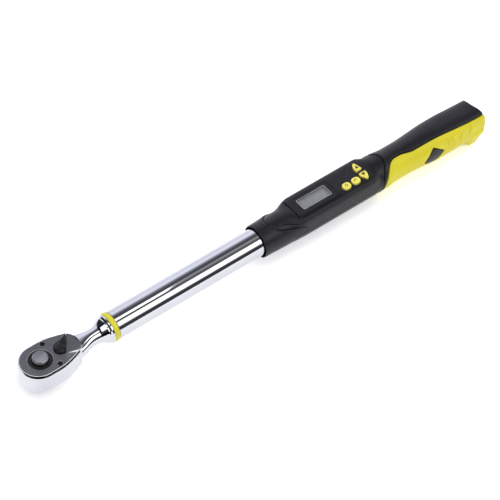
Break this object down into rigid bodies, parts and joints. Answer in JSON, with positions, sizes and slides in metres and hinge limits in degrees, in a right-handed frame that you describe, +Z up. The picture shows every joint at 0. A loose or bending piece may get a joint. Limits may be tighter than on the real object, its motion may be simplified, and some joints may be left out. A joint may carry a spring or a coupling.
{
  "type": "electronic torque wrench",
  "caption": "Long chromed wrench with a reversible ratchet head and square drive, a display housing with push keys, and a two-colour grip.",
  "frame": {"origin": "centre of the square drive's flat end face", "axes": "+X along the tube from the drive to the grip, +Z up through the display side, -Z out of the square drive's end"},
  "size_m": [0.5314, 0.039, 0.0449],
  "materials": {
    "chrome": "polished chrome plate",
    "gunmetal": "satin dark nickel",
    "black_oxide": "black oxide",
    "satin_steel": "blasted satin",
    "spring_steel": "ground and hardened",
    "black_plastic": "fine grain",
    "black_rubber": "matt",
    "yellow_rubber": "soft touch",
    "key_yellow": "smooth moulded",
    "ring_yellow": "moulded",
    "clear_window": "clear acrylic over a grey display",
    "lcd_grey": "liquid-crystal glass",
    "board_green": "solder mask",
    "brass": "stamped",
    "cell_wrap": "plain printed sleeve on a steel can",
    "gauge_foil": "foil on a plastic film"
  },
  "bodies": {
    "wrench": {"ratchet_head": "chrome", "cover_plate": "gunmetal", "cover_screw_1": "black_oxide", "cover_screw_2": "black_oxide", "marker_ring": "ring_yellow", "tube": "chrome", "head_pin": "black_oxide", "beam_pin": "black_oxide", "measuring_beam": "spring_steel", "strain_gauge_left": "gauge_foil", "strain_gauge_right": "gauge_foil", "gauge_cable": "black_rubber", "upper_housing": "black_plastic", "lower_housing": "black_plastic", "display_bezel": "black_plastic", "display_lens": "clear_window", "lcd_module": "lcd_grey", "circuit_board": "board_green", "board_screw_1": "black_oxide", "board_screw_2": "black_oxide", "keypad_mat": "black_rubber", "buzzer": "black_plastic", "housing_screw_1": "black_oxide", "housing_screw_2": "black_oxide", "grip_core": "black_plastic", "grip_overmold": "yellow_rubber", "grip_screw_1": "black_oxide", "grip_screw_2": "black_oxide", "battery_sleeve": "black_plastic", "battery_1": "cell_wrap", "battery_2": "cell_wrap", "battery_contact": "brass", "battery_cable": "black_rubber"},
    "drive": {"drive_gear": "black_oxide", "release_spring": "spring_steel"},
    "button": {"release_button": "satin_steel"},
    "ball": {"detent_ball": "spring_steel"},
    "lever": {"reversing_lever": "black_oxide", "lever_detent_pin": "spring_steel", "lever_detent_spring": "spring_steel"},
    "pawl": {"pawl": "spring_steel"},
    "power_button": {"power_key": "key_yellow"},
    "units_button": {"units_key": "key_yellow"},
    "up_button": {"up_key": "key_yellow"},
    "down_button": {"down_key": "key_yellow"},
    "seal": {"cap_seal": "black_rubber"},
    "cap": {"battery_cap": "black_plastic", "battery_spring": "spring_steel"}
  },
  "joints": [
    {"name": "drive_turn", "type": "hinge", "parent": "wrench", "child": "drive", "pos_m": [0, 0, 0], "axis": [0, 0, 1], "continuous": true},
    {"name": "button_press", "type": "slide", "parent": "drive", "child": "button", "axis": [0, 0, -1], "range_m": [0, 0.003], "stiffness_N_per_m": 1200, "deforming": ["release_spring"]},
    {"name": "ball_retract", "type": "slide", "parent": "drive", "child": "ball", "axis": [0.6428, 0.766, 0], "range_m": [0, 0.0009]},
    {"name": "lever_flip", "type": "hinge", "parent": "wrench", "child": "lever", "pos_m": [0.0205, 0, 0.0265], "axis": [0, 0, 1], "range_deg": [-70, 0]},
    {"name": "pawl_rock", "type": "hinge", "parent": "wrench", "child": "pawl", "pos_m": [0.0205, 0, 0.0265], "axis": [0, 0, 1], "range_deg": [-8, 0]},
    {"name": "power_press", "type": "slide", "parent": "wrench", "child": "power_button", "axis": [0, 0, -1], "range_m": [0, 0.0007], "stiffness_N_per_m": 1500},
    {"name": "units_press", "type": "slide", "parent": "wrench", "child": "units_button", "axis": [0, 0, -1], "range_m": [0, 0.0007], "stiffness_N_per_m": 1500},
    {"name": "up_press", "type": "slide", "parent": "wrench", "child": "up_button", "axis": [0, 0, -1], "range_m": [0, 0.0007], "stiffness_N_per_m": 1500},
    {"name": "down_press", "type": "slide", "parent": "wrench", "child": "down_button", "axis": [0, 0, -1], "range_m": [0, 0.0007], "stiffness_N_per_m": 1500},
    {"name": "cap_pull", "type": "slide", "parent": "wrench", "child": "seal", "axis": [1, 0, 0], "range_m": [0, 0.03]},
    {"name": "cap_twist", "type": "hinge", "parent": "seal", "child": "cap", "pos_m": [0.494, 0, 0.0265], "axis": [1, 0, 0], "range_deg": [0, 90]}
  ],
  "couplings": [
    {"joint": "ball_retract", "follows": "button_press", "ratio": 0.3},
    {"joint": "pawl_rock", "follows": "lever_flip", "ratio": 0.11429}
  ]
}
